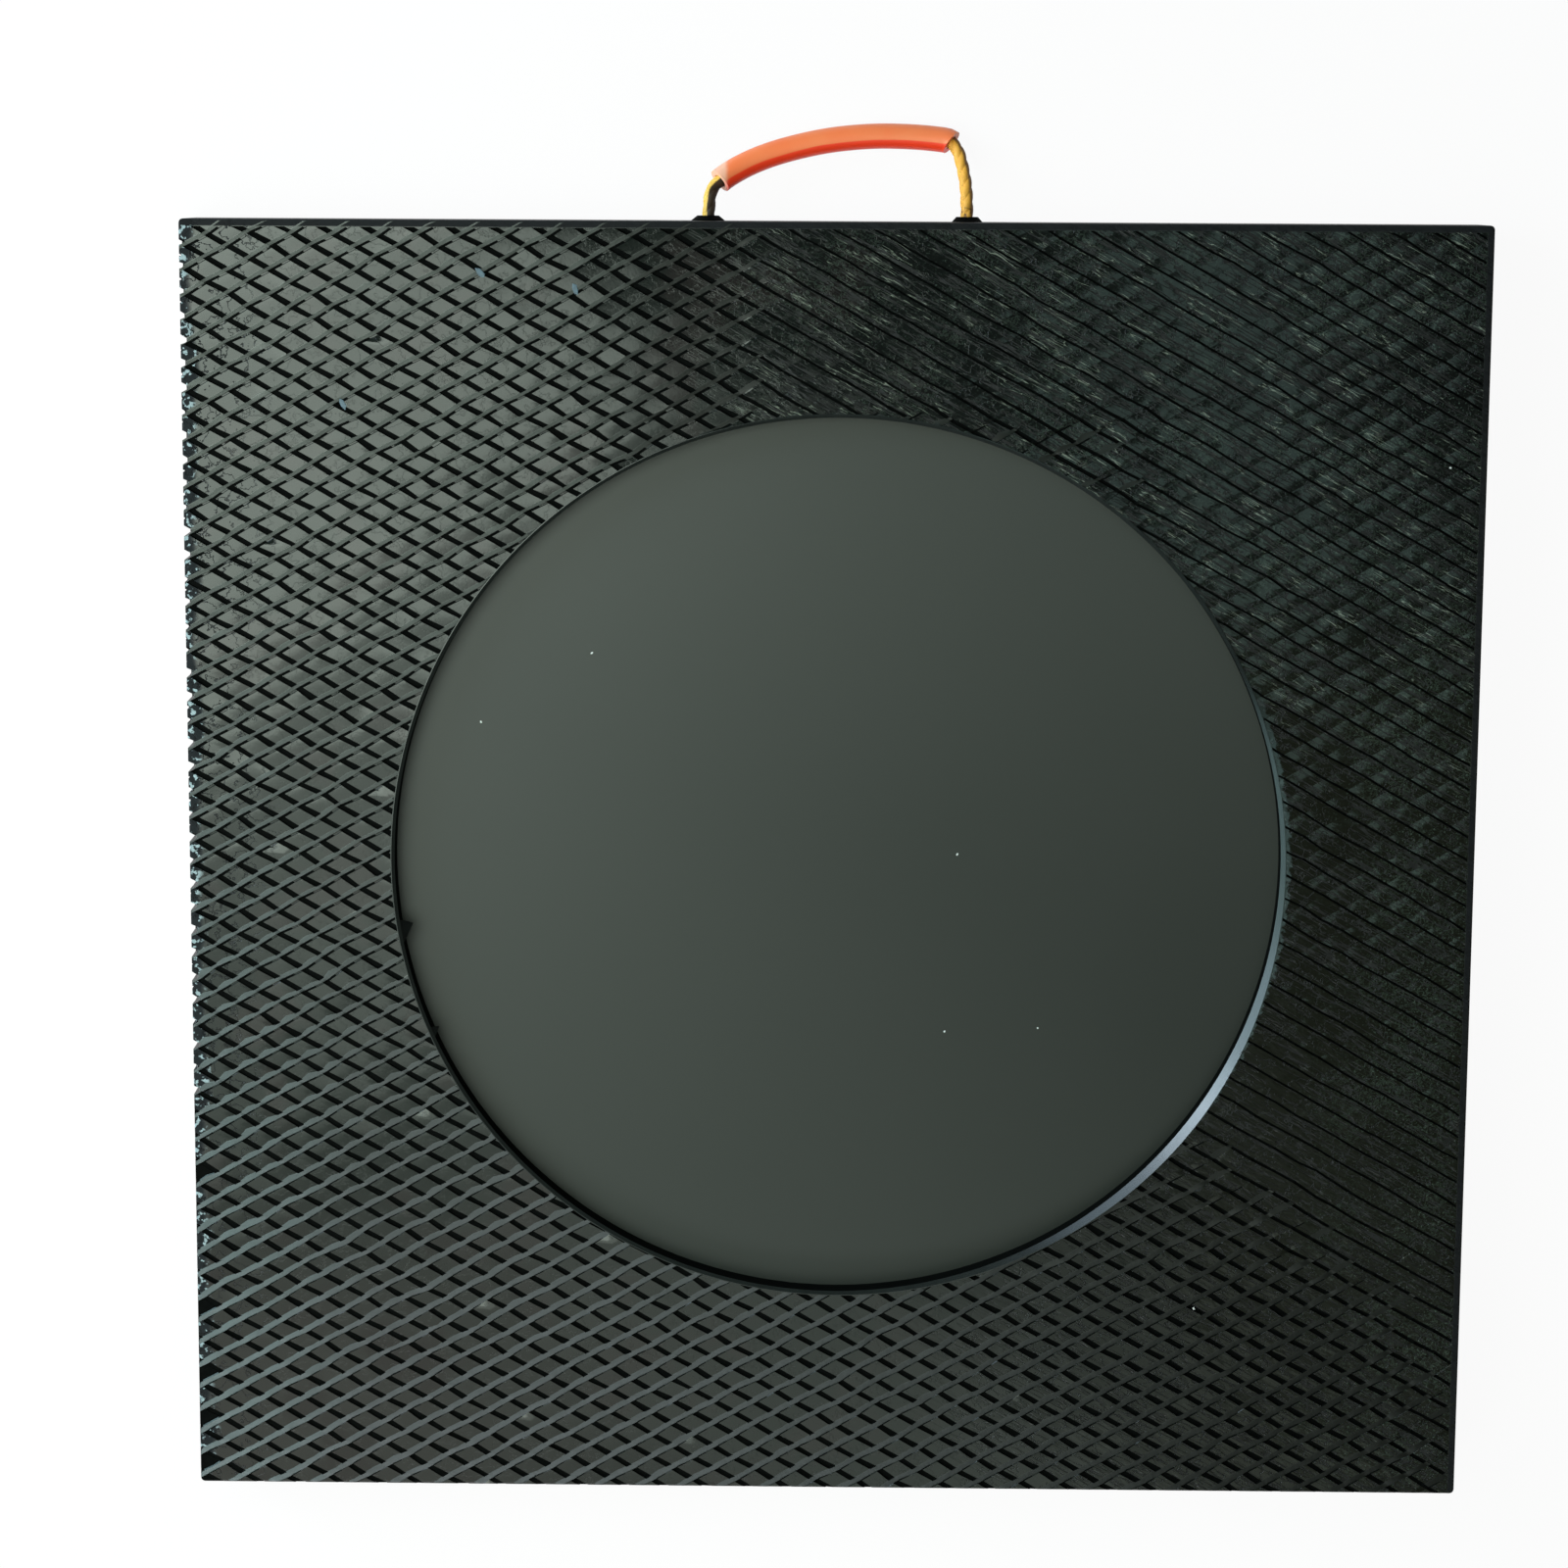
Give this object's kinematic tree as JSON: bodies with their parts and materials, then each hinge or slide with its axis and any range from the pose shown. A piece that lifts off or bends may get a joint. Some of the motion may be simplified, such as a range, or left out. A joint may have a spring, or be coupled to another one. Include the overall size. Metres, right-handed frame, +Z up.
{
  "type": "leveling pad with rope handle",
  "caption": "Square black polyethylene load-spreading pad with a grooved anti-slip face, a sunken round seat and a rope handle with a hose grip.",
  "frame": {"origin": "middle of the pad's flat underside", "axes": "+Z up out of the grooved face and the seat, +Y towards the rope handle's edge, +X to the right as seen from above with the handle at the far edge"},
  "size_m": [0.6, 0.6449, 0.04],
  "materials": {
    "pad_plastic": "milled, slightly waxy black polyethylene",
    "rope_fibre": "twisted golden yellow fibre, dirty in places",
    "grip_hose": "smooth satin orange-red hose"
  },
  "bodies": {
    "root": {"pad": "pad_plastic", "rope": "rope_fibre", "hose_grip": "grip_hose", "knot_left": "rope_fibre", "knot_right": "rope_fibre"}
  },
  "joints": []
}
